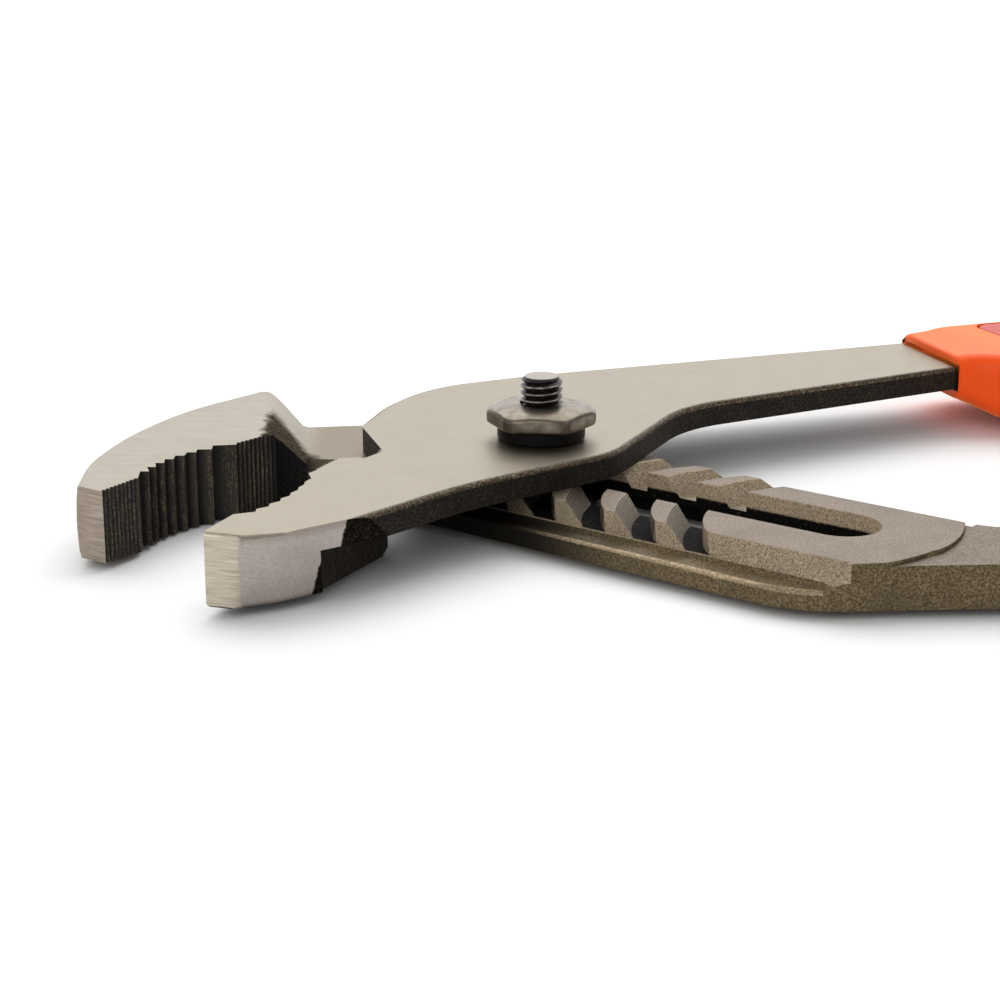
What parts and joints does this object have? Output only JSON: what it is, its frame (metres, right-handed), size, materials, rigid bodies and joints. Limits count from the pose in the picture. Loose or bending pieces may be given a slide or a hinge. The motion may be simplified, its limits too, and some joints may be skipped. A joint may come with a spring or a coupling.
{
  "type": "water pump pliers",
  "caption": "Slip-joint water pump pliers: forged steel arms crossed on a bolt that slides in a grooved slot, toothed jaws and orange grip sleeves with red inlays.",
  "frame": {"origin": "on the bolt's axis, on the flat underside of its head, with the bolt in the first setting", "axes": "+X from the bolt towards the handles, +Y towards the upper handle, +Z along the bolt towards its nut"},
  "size_m": [0.2508, 0.1438, 0.02],
  "materials": {
    "forged_steel": "drop forged, blasted, top faces ground satin",
    "ground_steel": "top face ground satin, edges dark forging scale",
    "black_steel": "black oxide, worn crests",
    "black_washer": "black oxide",
    "plated_steel": "worn zinc plate",
    "orange_plastic": "smooth dipped vinyl",
    "red_rubber": "soft matt inlay"
  },
  "bodies": {
    "lower": {"lower_arm": "forged_steel", "lower_sleeve": "orange_plastic", "lower_panel_top": "red_rubber", "lower_panel_bottom": "red_rubber"},
    "pivot": {"pivot_bolt": "black_steel", "pivot_washer": "black_washer", "pivot_nut": "plated_steel"},
    "upper": {"upper_arm": "ground_steel", "upper_sleeve": "orange_plastic", "upper_panel_top": "red_rubber", "upper_panel_bottom": "red_rubber"}
  },
  "joints": [
    {"name": "slot_setting", "type": "slide", "parent": "lower", "child": "pivot", "axis": [0.7986, -0.6018, 0], "range_m": [0, 0.048]},
    {"name": "arm_pivot", "type": "hinge", "parent": "pivot", "child": "upper", "pos_m": [0, 0, 0], "axis": [0, 0, 1], "range_deg": [-22, 58]}
  ]
}
